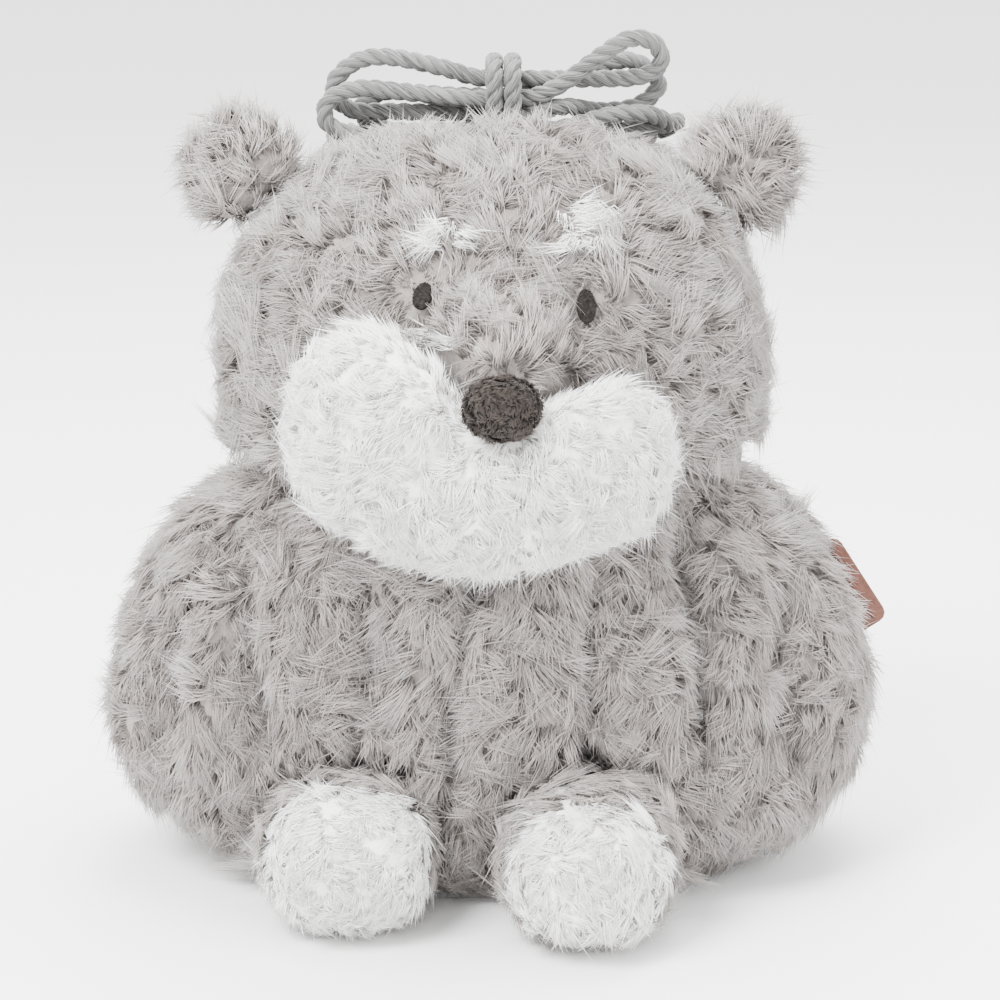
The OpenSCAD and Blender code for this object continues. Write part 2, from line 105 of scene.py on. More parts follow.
class Shader:
    """A small wrapper that adds and links the nodes of one material."""

    def __init__(self, name, roughness=0.8, sheen=0.0, color=(0.8, 0.8, 0.8), shine=0.25):
        self.material = bpy.data.materials.new(name)
        self.material.use_nodes = True
        self.tree = self.material.node_tree
        self.bsdf = self.tree.nodes["Principled BSDF"]
        self.bsdf.inputs["Roughness"].default_value = roughness
        self.bsdf.inputs["Base Color"].default_value = (*color, 1)
        self.bsdf.inputs["Specular IOR Level"].default_value = shine
        self.bsdf.inputs["Sheen Weight"].default_value = sheen
        self.bsdf.inputs["Sheen Roughness"].default_value = 0.5

    def node(self, kind, **values):
        n = self.tree.nodes.new(kind)
        for key, value in values.items():
            if hasattr(n, key):
                setattr(n, key, value)
            else:
                n.inputs[key.replace("_", " ")].default_value = value
        return n

    def link(self, out, to):
        self.tree.links.new(out, to)

    def place(self, scale=(1, 1, 1)):
        """Object coordinates in millimetres, stretched by scale."""
        coords = self.node("ShaderNodeTexCoord")
        mapping = self.node("ShaderNodeMapping")
        mapping.inputs["Scale"].default_value = [1000 * s for s in scale]
        self.link(coords.outputs["Object"], mapping.inputs["Vector"])
        return mapping.outputs["Vector"]

    def ramp(self, factor, stops):
        r = self.node("ShaderNodeValToRGB")
        r.color_ramp.elements.remove(r.color_ramp.elements[-1])
        for i, (at, color) in enumerate(stops):
            e = r.color_ramp.elements[0] if i == 0 else r.color_ramp.elements.new(at)
            e.position = at
            e.color = (*color, 1)
        self.link(factor, r.inputs["Fac"])
        return r.outputs["Color"]

    def paint(self, color):
        self.link(color, self.bsdf.inputs["Base Color"])

    def bump(self, height, strength, distance):
        b = self.node("ShaderNodeBump")
        b.inputs["Strength"].default_value = strength
        b.inputs["Distance"].default_value = distance * MM
        self.link(height, b.inputs["Height"])
        self.link(b.outputs["Normal"], self.bsdf.inputs["Normal"])


def plain_floor():
    s = Shader("pale_floor", roughness=0.9, color=(0.9, 0.9, 0.9))
    n = s.node("ShaderNodeTexNoise", Scale=0.004)
    s.link(s.place(), n.inputs["Vector"])
    s.paint(s.ramp(n.outputs["Fac"], [(0.3, (0.9, 0.9, 0.9)), (0.7, (0.91, 0.91, 0.91))]))
    return s.material


def pile(name, root, middle, tip, shade, sheen=0.25, shine=0.25):
    """Pile strands: painted shade at the root and a painted highlight at the tip, each tuft a little
    different.

    Every strand's map holds its tuft's tone across and its length upwards."""
    s = Shader(name, roughness=0.85, sheen=sheen, shine=shine)
    uv = s.node("ShaderNodeUVMap", uv_map="OFBake")
    split = s.node("ShaderNodeSeparateXYZ")
    s.link(uv.outputs["UV"], split.inputs["Vector"])
    # painted shade towards the root and a painted highlight towards the tip, along each strand
    along = s.ramp(split.outputs["Y"], [(0.0, root), (0.45, middle), (1.0, tip)])
    tone = s.ramp(split.outputs["X"], shade)
    mix = s.node("ShaderNodeMix", data_type="RGBA", blend_type="MULTIPLY")
    mix.inputs["Factor"].default_value = 1
    s.link(along, mix.inputs["A"])
    s.link(tone, mix.inputs["B"])
    s.paint(mix.outputs["Result"])
    return s.material


def backing(name, low, high):
    """The knitted backing under the pile."""
    s = Shader(name, roughness=0.95, sheen=0.1)
    at = s.place()
    n = s.node("ShaderNodeTexNoise", Scale=0.35, Detail=3)
    s.link(at, n.inputs["Vector"])
    v = s.node("ShaderNodeTexVoronoi", Scale=0.9)
    s.link(at, v.inputs["Vector"])
    s.paint(s.ramp(n.outputs["Fac"], [(0.3, low), (0.7, high)]))
    s.bump(v.outputs["Distance"], 0.5, 0.6)
    return s.material


def woven(name, low, high, scale, lift):
    """A small plain weave: two crossed waves with a little noise."""
    s = Shader(name, roughness=0.85, sheen=0.15)
    at = s.place()
    warp = s.node("ShaderNodeTexWave", Scale=scale, Distortion=0.6)
    weft = s.node("ShaderNodeTexWave", Scale=scale, Distortion=0.6, bands_direction="Y")
    both = s.node("ShaderNodeMath", operation="MULTIPLY")
    for w, socket in ((warp, 0), (weft, 1)):
        s.link(at, w.inputs["Vector"])
        s.link(w.outputs["Fac"], both.inputs[socket])
    n = s.node("ShaderNodeTexNoise", Scale=0.2, Detail=4)
    s.link(at, n.inputs["Vector"])
    s.paint(s.ramp(n.outputs["Fac"], [(0.3, low), (0.7, high)]))
    s.bump(both.outputs["Value"], 0.6, lift)
    return s.material


def fibre(name):
    """Loose polyester stuffing."""
    s = Shader(name, roughness=0.95, color=(0.9, 0.9, 0.89))
    n = s.node("ShaderNodeTexNoise", Scale=0.5, Detail=6)
    s.link(s.place((1, 1, 0.4)), n.inputs["Vector"])
    s.paint(s.ramp(n.outputs["Fac"], [(0.3, (0.8, 0.8, 0.78)), (0.7, (0.95, 0.95, 0.94))]))
    s.bump(n.outputs["Fac"], 0.6, 1.0)
    return s.material


def cotton(name, low, high):
    """Twisted cotton: fine yarns along each ply, a little uneven in colour."""
    s = Shader(name, roughness=0.9, sheen=0.2)
    uv = s.node("ShaderNodeUVMap", uv_map="OFBake")
    stretch = s.node("ShaderNodeMapping")
    stretch.inputs["Scale"].default_value = (26, 90, 1)
    s.link(uv.outputs["UV"], stretch.inputs["Vector"])
    yarn = s.node("ShaderNodeTexNoise", Scale=1.0, Detail=3, noise_dimensions="2D")
    s.link(stretch.outputs["Vector"], yarn.inputs["Vector"])
    s.paint(s.ramp(yarn.outputs["Fac"], [(0.3, low), (0.68, high)]))
    s.bump(yarn.outputs["Fac"], 0.35, 0.25)
    return s.material


def leather(name):
    """Smooth brown synthetic leather, a little uneven in colour, with a fine grain in its bump."""
    s = Shader(name, roughness=0.5)
    at = s.place()
    v = s.node("ShaderNodeTexVoronoi", Scale=1.6)
    n = s.node("ShaderNodeTexNoise", Scale=0.5, Detail=5)
    for t in (v, n):
        s.link(at, t.inputs["Vector"])
    s.paint(s.ramp(n.outputs["Fac"], [(0.3, (0.085, 0.032, 0.022)), (0.7, (0.14, 0.056, 0.04))]))
    s.bump(v.outputs["Distance"], 0.35, 0.12)
    return s.material


# Pile colours: the darker roots are painted shade deep in the pile and the lighter tips a painted
# highlight; shade is each tuft's own tone, which differs at random.
GREY = dict(
    root=(0.165, 0.143, 0.132), middle=(0.265, 0.236, 0.221), tip=(0.55, 0.515, 0.495),
    shade=[(0.0, (0.62, 0.6, 0.59)), (0.5, (0.88, 0.87, 0.865)), (1.0, (1, 1, 1))],
)
WHITE = dict(
    root=(0.8, 0.785, 0.765), middle=(0.92, 0.915, 0.9), tip=(0.97, 0.97, 0.965),
    shade=[(0.0, (0.9, 0.9, 0.89)), (0.5, (0.97, 0.97, 0.965)), (1.0, (1, 1, 1))],
)
DARK = dict(
    root=(0.006, 0.005, 0.0045), middle=(0.02, 0.016, 0.014), tip=(0.11, 0.092, 0.082),
    shade=[(0.0, (0.4, 0.4, 0.4)), (0.5, (0.75, 0.75, 0.75)), (1.0, (1, 1, 1))], sheen=0.05, shine=0.1,
)


# ---------------------------------------------------------------- mesh helpers

def new_object(name, vertices, triangles, material, smooth=True):
    """A mesh object from arrays of points and of triangles or quads."""
    mesh = bpy.data.meshes.new(name)
    vertices = np.ascontiguousarray(vertices, np.float32)
    faces = np.ascontiguousarray(triangles, np.int32)
    mesh.vertices.add(len(vertices))
    mesh.vertices.foreach_set("co", vertices.ravel())
    mesh.loops.add(faces.size)
    mesh.loops.foreach_set("vertex_index", faces.ravel())
    mesh.polygons.add(len(faces))
    mesh.polygons.foreach_set("loop_start", np.arange(0, faces.size, faces.shape[1], dtype=np.int32))
    mesh.polygons.foreach_set("use_smooth", np.full(len(faces), smooth))
    mesh.update(calc_edges=True)
    mesh.materials.append(material)
    obj = bpy.data.objects.new(name, mesh)
    bpy.context.scene.collection.objects.link(obj)
    return obj


def put_uv(obj, per_vertex):
    """The OFBake map, from one pair of numbers for each vertex."""
    mesh = obj.data
    index = np.empty(len(mesh.loops), np.int32)
    mesh.loops.foreach_get("vertex_index", index)
    layer = mesh.uv_layers.new(name="OFBake")
    layer.uv.foreach_set("vector", np.ascontiguousarray(per_vertex[index], np.float32).ravel())


def points_of(obj):
    co = np.empty(len(obj.data.vertices) * 3, np.float32)
    obj.data.vertices.foreach_get("co", co)
    return co.reshape(-1, 3).astype(float)


def set_points(obj, points):
    obj.data.vertices.foreach_set("co", np.ascontiguousarray(points, np.float32).ravel())
    obj.data.update()


def normals_of(obj):
    n = np.empty(len(obj.data.vertices) * 3, np.float32)
    obj.data.vertex_normals.foreach_get("vector", n)
    return n.reshape(-1, 3).astype(float)


def triangles_of(obj):
    obj.data.calc_loop_triangles()
    t = np.empty(len(obj.data.loop_triangles) * 3, np.int32)
    obj.data.loop_triangles.foreach_get("vertices", t)
    return t.reshape(-1, 3)


def tree_of(*objects):
    """One search tree over several objects' triangles."""
    points, faces, start = [], [], 0
    for o in objects:
        p = points_of(o)
        points.append(p)
        faces.append(triangles_of(o) + start)
        start += len(p)
    return BVHTree.FromPolygons(np.concatenate(points).tolist(), np.concatenate(faces).tolist())


def wobble(points, size, seed):
    """Smooth noise from -1 to 1 with features about size millimetres across."""
    shift = Vector((seed * 7.31, seed * 3.17, seed * 5.53))
    scale = 1 / (size * MM)
    return np.array([noise.noise(Vector(p) * scale + shift) for p in points])


def unit(v):
    return v / np.maximum(np.linalg.norm(v, axis=-1, keepdims=True), 1e-12)


def ball_mesh(level):
    """Unit directions and triangles of an evenly divided ball."""
    bpy.ops.mesh.primitive_ico_sphere_add(subdivisions=level, radius=1)
    o = bpy.context.object
    result = unit(points_of(o)), triangles_of(o)
    bpy.data.objects.remove(o)
    return result


# ---------------------------------------------------------------- skins

CLOTH_CAP = 2.5                # millimetres that the cloth may move when it is blown up


def smooth_radius(radius, faces, rounds):
    """Evens out a radius field over its neighbours."""
    edges = np.concatenate([faces[:, [0, 1]], faces[:, [1, 2]], faces[:, [2, 0]]])
    count = np.bincount(edges.ravel(), minlength=len(radius))
    for _ in range(rounds):
        total = np.bincount(edges[:, 0], radius[edges[:, 1]], len(radius))
        total += np.bincount(edges[:, 1], radius[edges[:, 0]], len(radius))
        radius = 0.4 * radius + 0.6 * total / count
    return radius


def blow_up(obj, pressure=4.0):
    """A short cloth simulation that plumps the skin, each point moving no more than the cap."""
    before = points_of(obj)
    cloth = obj.modifiers.new("cloth", "CLOTH")
    cloth.settings.use_pressure = True
    cloth.settings.uniform_pressure_force = pressure
    cloth.settings.effector_weights.gravity = 0
    cloth.settings.tension_stiffness = 12
    cloth.settings.bending_stiffness = 0.8
    cloth.settings.quality = 4
    scene = bpy.context.scene
    for step in range(1, 21):
        scene.frame_set(step)
    after = obj.evaluated_get(bpy.context.evaluated_depsgraph_get())
    moved = np.empty(len(before) * 3, np.float32)
    after.data.vertices.foreach_get("co", moved)
    obj.modifiers.remove(cloth)
    scene.frame_set(1)
    shift = moved.reshape(-1, 3) - before
    length = np.linalg.norm(shift, axis=1, keepdims=True)
    cap = CLOTH_CAP * MM
    set_points(obj, before + shift * np.minimum(1, cap / np.maximum(length, 1e-9)))


def skin(name, nodes, centre, inset, level, material, rounds=4, shape=None):
    """The cloth of one soft part: its CAD solids' outer surface seen from its centre.

    The surface is taken along even rays, smoothed, drawn in by the pile's depth, shaped by
    folds, and then blown up as cloth."""
    tree = tree_of(*(NODES[n] for n in nodes))
    dirs, faces = ball_mesh(level)
    far = 0.4
    radius = np.empty(len(dirs))
    for i, d in enumerate(dirs):
        origin = Vector(centre + d * far)
        hit = tree.ray_cast(origin, Vector(-d), far)
        radius[i] = far - hit[3] if hit[0] is not None else 0.01
    radius = smooth_radius(radius, faces, rounds)
    obj = new_object(name, centre + dirs * radius[:, None], faces, material)
    points = points_of(obj) - normals_of(obj) * inset * MM
    set_points(obj, points)
    blow_up(obj)
    if shape:
        set_points(obj, shape(points_of(obj), normals_of(obj)))
    points = points_of(obj)
    points[:, 2] = np.maximum(points[:, 2], 0.6 * MM)
    set_points(obj, points)
    return obj


def lumps(points, normals, size, height, seed):
    """Soft uneven stuffing under the cloth."""
    return points + normals * (wobble(points, size, seed) * height * MM)[:, None]


BULGE = 3.5                    # millimetres by which the flanks fill out low down
BULGE_HEIGHT = 26              # the level of this bulge, in millimetres
# Each fold of the body: its top and bottom as x and z, its depth and its half width
FRONT_FOLDS = [
    (-8, 104, -10, 30, 11, 6), (29, 102, 30, 44, 9, 6), (58, 110, 60, 44, 16, 7),
    (-72, 100, -66, 48, 13, 7), (-38, 96, -36, 52, 7, 5), (86, 92, 90, 36, 8, 7),
    (-95, 84, -92, 40, 7, 6),
]
BACK_FOLDS = [
    (-46, 116, -50, 56, 7, 7), (4, 118, 6, 62, 6, 7), (52, 116, 56, 54, 7, 7),
    (-86, 94, -84, 46, 4, 7), (84, 94, 84, 46, 4, 7),
]


def fold_depth(points, folds):
    depth = np.zeros(len(points))
    x, z = points[:, 0] / MM, points[:, 2] / MM
    wander = wobble(points, 26, 51)
    for x0, z0, x1, z1, deep, wide in folds:
        t = np.clip((z0 - z) / (z0 - z1), 0, 1)
        off = x - (x0 + (x1 - x0) * t) + 3.5 * wander + 2.5 * np.sin(z / 17 + x0)
        ends = np.clip((z0 + 8 - z) / 12, 0, 1) * np.clip((z - z1 + 8) / 14, 0, 1)
        groove = np.exp(-(off / wide) ** 2) - 0.35 * np.exp(-((np.abs(off) - 2.2 * wide) / wide) ** 2)
        depth = np.maximum(depth, 0) + deep * groove * ends
    return depth


def shape_body(points, normals):
    front = np.clip(-normals[:, 1] * 2, 0, 1)
    rear = np.clip(normals[:, 1] * 2, 0, 1)
    depth = fold_depth(points, FRONT_FOLDS) * front + fold_depth(points, BACK_FOLDS) * rear
    level = np.clip(1 - np.abs(normals[:, 2]), 0, 1)
    bulge = np.exp(-((points[:, 2] / MM - BULGE_HEIGHT) / 20) ** 2)
    depth -= BULGE * level * bulge * (np.abs(points[:, 0]) > 50 * MM)
    return lumps(points - normals * depth[:, None] * MM, normals, 34, 2.2, 3)


def shape_head(points, normals):
    return lumps(points, normals, 30, 1.6, 5)


def shape_small(points, normals):
    return lumps(points, normals, 16, 0.9, 9)


# ---------------------------------------------------------------- pile

RINGS = np.array([0.0, 0.5, 1.0])
GIRTH = np.array([1.0, 0.9, 0.0])
STRAND_POINTS = 7              # two rings of three and a tip
PIECE_STRANDS = 19000          # strands in one piece


def scatter(obj, count, rng, keep=None):
    """Even random places on a skin, with their normals."""
    points, normals, faces = points_of(obj), normals_of(obj), triangles_of(obj)
    a, b, c = (points[faces[:, k]] for k in range(3))
    area = np.linalg.norm(np.cross(b - a, c - a), axis=1) / 2
    pick = rng.choice(len(faces), size=count, p=area / area.sum())
    u, v = rng.random((2, count))
    over = u + v > 1
    u[over], v[over] = 1 - u[over], 1 - v[over]
    w = 1 - u - v
    place = sum(points[faces[pick, k]] * m[:, None] for k, m in enumerate((w, u, v)))
    facing = unit(sum(normals[faces[pick, k]] * m[:, None] for k, m in enumerate((w, u, v))))
    if keep is not None:
        chosen = keep(place, facing)
        place, facing = place[chosen], facing[chosen]
    return place, facing


def gather(place, rng, share=6):
    """Joins neighbouring tufts into locks: each tuft's lock, and the locks' middles."""
    heads = rng.choice(len(place), size=max(1, len(place) // share), replace=False)
    tree = KDTree(len(heads))
    for i, h in enumerate(heads):
        tree.insert(Vector(place[h]), i)
    tree.balance()
    return np.array([tree.find(Vector(p))[1] for p in place]), place[heads]


def grow(place, facing, comb, length, rng, strands=10, spread=1.6, girth=0.18, lift=0.64,
         curl=0.65, converge=0.5, stray=0.14, low=0.3, lock=0.32):
    """Tufts of tapered strands that rise from the skin, lean along the comb and curl.

    length is each tuft's length in millimetres. Returns the strands' points as an array of
    strand, point and coordinate, and each strand's tone."""
    n = len(place)
    comb = unit(comb - facing * np.sum(comb * facing, axis=1, keepdims=True))
    side = np.cross(facing, comb)
    group, middles = gather(place, rng)
    swirl = (rng.normal(0, 0.22, n) + rng.normal(0, 0.55, len(middles))[group]
             + 0.8 * wobble(place, 14, 21))
    lean = unit(comb * np.cos(swirl)[:, None] + side * np.sin(swirl)[:, None])
    cross = np.cross(facing, lean)
    rise = np.clip(rng.normal(lift, 0.1, n) + rng.normal(0, 0.14, len(middles))[group], 0.2, 1.1)
    bend = rng.normal(0, 0.3 * curl, n) + rng.normal(0, curl, len(middles))[group]
    pull = (middles[group] - place) * lock

    def repeat(v):
        return np.repeat(v, strands, axis=0)

    total = n * strands
    angle, reach = rng.random(total) * 2 * math.pi, np.sqrt(rng.random(total)) * spread
    offset = (repeat(lean) * (np.cos(angle) * reach)[:, None]
              + repeat(cross) * (np.sin(angle) * reach)[:, None])
    loose = rng.random(total) < 0.12
    long = repeat(length) * rng.uniform(0.65, 1.1, total) * np.where(loose, 1.2, 1) * MM
    wander = rng.normal(0, 1, (total, 2)) * np.where(loose, 2.2 * stray, stray)[:, None]
    base, up, out, across = (repeat(v) for v in (place, facing, lean, cross))
    high, turn = repeat(rise) + rng.normal(0, 0.07, total), repeat(bend)
    path = []
    for t in RINGS:
        climb = high * (1 - 0.3 * t) * t
        lay = (1.25 - high * 0.7) * t ** 1.5 + wander[:, 0] * t
        sweep = turn * (1.4 * t * t - 0.5 * t) + wander[:, 1] * t
        move = up * climb[:, None] + out * lay[:, None] + across * sweep[:, None]
        body = base + move * long[:, None]
        path.append(body + offset * MM * (1 - converge * t) + repeat(pull) * t ** 1.5)
    path = np.stack(path, axis=1)
    path[:, :, 2] = np.maximum(path[:, :, 2], low * MM)
    thick = rng.uniform(0.75, 1.25, total) * girth * MM
    tangent = unit(np.gradient(path, axis=1))
    first = unit(np.cross(tangent, across[:, None, :] + 0.01))
    second = np.cross(tangent, first)
    corners = [first * math.cos(a) + second * math.sin(a)
               for a in (0, 2 * math.pi / 3, 4 * math.pi / 3)]
    rings = [
        path[:, j, None, :]
        + np.stack([c[:, j] for c in corners], 1) * (thick * GIRTH[j])[:, None, None]
        for j in (0, 1)
    ]
    verts = np.concatenate([*rings, path[:, 2:3]], axis=1)
    tone = (0.5 + 0.25 * repeat(wobble(place, 20, 31)) + rng.normal(0, 0.14, total)
            + repeat(rng.normal(0, 0.14, len(middles))[group]))
    return verts, np.clip(tone, 0.01, 0.99)


STRAND_FACES = np.array([
    (0, 2, 1), (0, 1, 4), (0, 4, 3), (1, 2, 5), (1, 5, 4), (2, 0, 3), (2, 3, 5),
    (3, 4, 6), (4, 5, 6), (5, 3, 6),
])
STRAND_V = [0.0] * 3 + [0.5] * 3 + [1.0]


def pile_pieces(name, grown, material, body, nodes=()):
    """Strand meshes small enough to export, sorted round the part so that each is a patch."""
    verts, tone = grown
    order = np.argsort(np.arctan2(verts[:, 0, 1], verts[:, 0, 0]), kind="stable")
    parts = max(1, math.ceil(len(order) / PIECE_STRANDS))
    made = []
    for i, chunk in enumerate(np.array_split(order, parts)):
        v = verts[chunk]
        faces = STRAND_FACES[None] + (np.arange(len(v)) * STRAND_POINTS)[:, None, None]
        label = name if parts == 1 else f"{name}_{i + 1}"
        obj = new_object(label, v.reshape(-1, 3), faces.reshape(-1, 3), material)
        uv = np.stack([np.repeat(tone[chunk], STRAND_POINTS), np.tile(STRAND_V, len(v))], axis=1)
        put_uv(obj, uv)
        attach(obj, body)
        if nodes:
            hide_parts(*nodes)
        made.append(obj)
    return made


def covered_by(trees, reach):
    """Says which places on a skin lie under another piece, within reach millimetres."""
    def test(place, facing):
        hidden = np.zeros(len(place), bool)
        for i, (p, n) in enumerate(zip(place, facing)):
            start = Vector(p + n * 0.3 * MM)
            for tree in trees:
                if tree.ray_cast(start, Vector(n), reach * MM)[0] is not None:
                    hidden[i] = True
                    break
        return hidden
    return test


def near(points, centre, radii):
    """How far points lie from a centre, as a share of its radii."""
    return np.linalg.norm((points - centre) / (np.array(radii) * MM), axis=1)


# ---------------------------------------------------------------- cord

CORD_D = 5.2
TWIST = 13.0                   # millimetres for one turn of a ply
CORD_FIRST = [
    (49.5, 26, 216.5), (53, 17, 219.5), (46, 8, 224), (35, 5, 224), (22, 5, 220.5), (10, 5, 219),
    (-8, 5, 218.8), (-26, 4, 217.3), (-41, 4, 218.2), (-48.5, 4, 222.5), (-47, 4, 229),
    (-38, 4, 232), (-24, 5, 230.6), (-9, 5, 229), (10, 5, 229), (20, 4, 233),
    (31, 3, 241), (40, 3, 246.5), (47.5, 5, 245), (49.5, 9, 238.5), (43, 11, 234.5),
    (30, 10.5, 234), (19, 10.5, 234), (10, 10.5, 234), (-4, 10.3, 234.4), (-14, 9.5, 237.3),
    (-30, 9.5, 240.5), (-40, 10, 239), (-46.5, 11, 232), (-42, 11.5, 225), (-28, 11, 224.3),
    (-9, 10.5, 224), (6, 10.5, 224),
]
CORD_SECOND = [
    (49.5, 33, 216.5), (55.5, 22, 220), (48, 14, 219.5), (35, 11, 218.8), (22, 10.5, 218.9),
    (10, 10.5, 219), (-8, 10.5, 218.9), (-24, 16, 217.8), (-34.5, 18, 219), (-39, 18, 224.5),
    (-32, 17, 229.3), (-20, 12, 229.6), (-9, 10.5, 229), (10, 10.5, 229), (20, 16, 232),
    (31, 17, 237), (42, 17, 238.5), (49.5, 17, 232), (43.5, 17, 225.5), (32.5, 16.5, 223.8),
    (21, 6.5, 226.3), (10, 5, 224), (6, 5, 224),
]
WRAP_X = (0.8, 6.2)
WRAP_MID = (7.75, 226.5)
WRAP_HALF = (3.4, 7.8)
WRAP_BEND = 4.9


def smooth_route(points, step=0.8, closed=False):
    """A smooth curve through listed points, cut into even steps, in metres."""
    p = np.array(points, float)
    n = len(p)
    dense = []
    for i in range(n if closed else n - 1):
        if closed:
            a, b, c, d = (p[(i + k) % n] for k in (-1, 0, 1, 2))
        else:
            a, b, c, d = p[max(i - 1, 0)], p[i], p[i + 1], p[min(i + 2, n - 1)]
        for t in np.linspace(0, 1, 16, endpoint=False):
            dense.append(0.5 * (
                2 * b + (c - a) * t + (2 * a - 5 * b + 4 * c - d) * t * t
                + (3 * b - a - 3 * c + d) * t ** 3))
    dense.append(p[0] if closed else p[-1])
    dense = np.array(dense)
    run = np.concatenate([[0], np.cumsum(np.linalg.norm(np.diff(dense, axis=0), axis=1))])
    cuts = np.linspace(0, run[-1], max(2, int(run[-1] / step)) + 1)
    even = np.stack([np.interp(cuts, run, dense[:, k]) for k in range(3)], axis=1)
    return even * MM, run[-1] * MM


def frames_along(path):
    """A side vector for each point that turns no more than the path does."""
    tangent = unit(np.gradient(path, axis=0))
    side = np.cross(tangent[0], (0, 0.3, 1))
    sides = []
    for t in tangent:
        side = side - t * (side @ t)
        side = side / np.linalg.norm(side)
        sides.append(side)
    sides = np.array(sides)
    return tangent, sides, np.cross(tangent, sides)


def twisted(name, path, material, diameter=CORD_D):
    """A three-ply cord: each ply winds round the route, and its yarns wind round the ply."""
    _, side, other = frames_along(path)
    run = np.concatenate([[0], np.cumsum(np.linalg.norm(np.diff(path, axis=0), axis=1))]) / MM
    orbit, ply = diameter * 0.25, diameter * 0.262
    around = 21
    verts, faces, uvs = [], [], []
    for k in range(3):
        phase = 2 * math.pi * (k / 3 + run / TWIST)
        out = side * np.cos(phase)[:, None] + other * np.sin(phase)[:, None]
        middle = path + out * orbit * MM
        tangent, s, o = frames_along(middle)
        start = sum(len(v) for v in verts)
        rings = []
        for j in range(around):
            a = 2 * math.pi * j / around
            yarn = 1 + 0.1 * np.cos(7 * (a + 2 * math.pi * run / 16))
            rings.append(middle + (s * math.cos(a) + o * math.sin(a)) * (ply * yarn * MM)[:, None])
        ring = np.stack(rings, axis=1)
        verts.append(ring.reshape(-1, 3))
        length = len(path)
        i, j = np.meshgrid(np.arange(length - 1), np.arange(around), indexing="ij")
        a, b = start + i * around + j, start + i * around + (j + 1) % around
        faces.append(np.stack([a, b, b + around, a + around], axis=-1).reshape(-1, 4))
        u, v = np.meshgrid(
            run / max(run[-1], 1), (np.arange(around) + 0.5) / around / 3 + k / 3, indexing="ij")
        uvs.append(np.stack([u, v], axis=-1).reshape(-1, 2))
    verts, faces, uvs = (np.concatenate(x) for x in (verts, faces, uvs))
    obj = new_object(name, verts, faces, material)
    put_uv(obj, uvs)
    return obj


def wrap_turn(x):
    """One closed turn of the wrap round the bow's middle."""
    points = []
    for sy, sz, start in ((1, 1, 0), (-1, 1, 90), (-1, -1, 180), (1, -1, 270)):
        for a in (0, 30, 60, 90):
            turn = math.radians(start + a)
            points.append((
                x, WRAP_MID[0] + sy * WRAP_HALF[0] + WRAP_BEND * math.cos(turn),
                WRAP_MID[1] + sz * WRAP_HALF[1] + WRAP_BEND * math.sin(turn)))
    return points


def make_cord(material):
    for i, x in enumerate(WRAP_X):
        path, _ = smooth_route(wrap_turn(x), closed=True)
        turn = twisted(f"bow_wrap_turn_{i + 1}", path, material)
        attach(turn, "head")
        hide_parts("bow_wrap")
    for name, route, node in (
        ("drawstring_first_strand", CORD_FIRST, "cord_first_strand"),
        ("drawstring_second_strand", CORD_SECOND, "cord_second_strand"),
    ):
        path, length = smooth_route(route)
        strand = twisted(name, path, material)
        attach(strand, "head")
        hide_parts(node)


# ---------------------------------------------------------------- trim

def rim_tube(name, ring, radius, material, pleats=0, depth=0.0, sides=14):
    """A closed tube round a ring, drawn into pleats."""
    tangent = unit(np.roll(ring, -1, axis=0) - np.roll(ring, 1, axis=0))
    up = np.array([0, 0, 1.0])
    side = unit(np.cross(tangent, up))
    high = np.cross(side, tangent)
    n = len(ring)
    phase = np.arange(n) / n * 2 * math.pi * pleats
    verts = []
    for j in range(sides):
        a = 2 * math.pi * j / sides
        r = radius * (1 + depth * np.cos(phase + 0.6 * math.sin(a)))
        verts.append(ring + (side * math.cos(a) + high * math.sin(a)) * (r * MM)[:, None])
    v = np.stack(verts, axis=1).reshape(-1, 3)
    i, j = np.meshgrid(np.arange(n), np.arange(sides), indexing="ij")
    a, b = i * sides + j, i * sides + (j + 1) % sides
    c, d = ((i + 1) % n) * sides + (j + 1) % sides, ((i + 1) % n) * sides + j
    return new_object(name, v, np.stack([a, b, c, d], axis=-1).reshape(-1, 4), material)


def crown_ring(count, scale=1.0):
    """Points round the gathered channel, which lies on the crown's hollow."""
    low, high = (np.array(c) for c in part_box("drawstring_casing"))
    half = (high - low) / 2 - 3.5 * MM
    mid = (high + low) / 2
    a = np.linspace(0, 2 * math.pi, count, endpoint=False)
    x, y = mid[0] + half[0] * scale * np.cos(a), mid[1] + half[1] * scale * np.sin(a)
    bowl = 230 - 24 * np.sqrt(1 - (x / MM / 80) ** 2 - ((y / MM - 23) / 35) ** 2)
    return np.stack([x, y, (bowl + 4.7) * MM], axis=1)


def make_crown(material):
    """The drawn-up mouth: a pleated channel and the bunched lining inside it."""
    channel = rim_tube("crown_channel", crown_ring(360), 3.3, material, pleats=34, depth=0.16)
    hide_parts("drawstring_casing")
    outer = crown_ring(360, 0.93)
    rows = []
    pleat = np.cos(np.arange(360) / 360 * 2 * math.pi * 34)
    middle = outer.mean(axis=0)
    for t in np.linspace(0, 1, 12):
        row = outer + (middle * (1, 1, 1) - outer) * (1, 1, 0.2) * t
        row[:, 2] += (1.6 * math.sin(math.pi * t) + pleat * 0.7 * (1 - t)) * MM - 1.2 * MM
        rows.append(row)
    v = np.stack(rows, axis=0).reshape(-1, 3)
    i, j = np.meshgrid(np.arange(11), np.arange(360), indexing="ij")
    a, b = i * 360 + j, i * 360 + (j + 1) % 360
    faces = np.stack([a, b, b + 360, a + 360], axis=-1).reshape(-1, 4)
    bunch = new_object("crown_lining_bunch", v, faces, material)
    thick = bunch.modifiers.new("thickness", "SOLIDIFY")
    thick.thickness = 0.8 * MM
    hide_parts("crown_lining")
    for o in (channel, bunch):
        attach(o, "head")


TAG_TILT = 33                  # degrees between the tag's sewn edge and upright
TAG_SUNK = 2.2                 # millimetres by which its sewn edge is down in the pile
TAG_LENGTH, TAG_WIDTH, TAG_CORNER, TAG_HALF_T = 30.0, 6.5, 3.0, 0.62


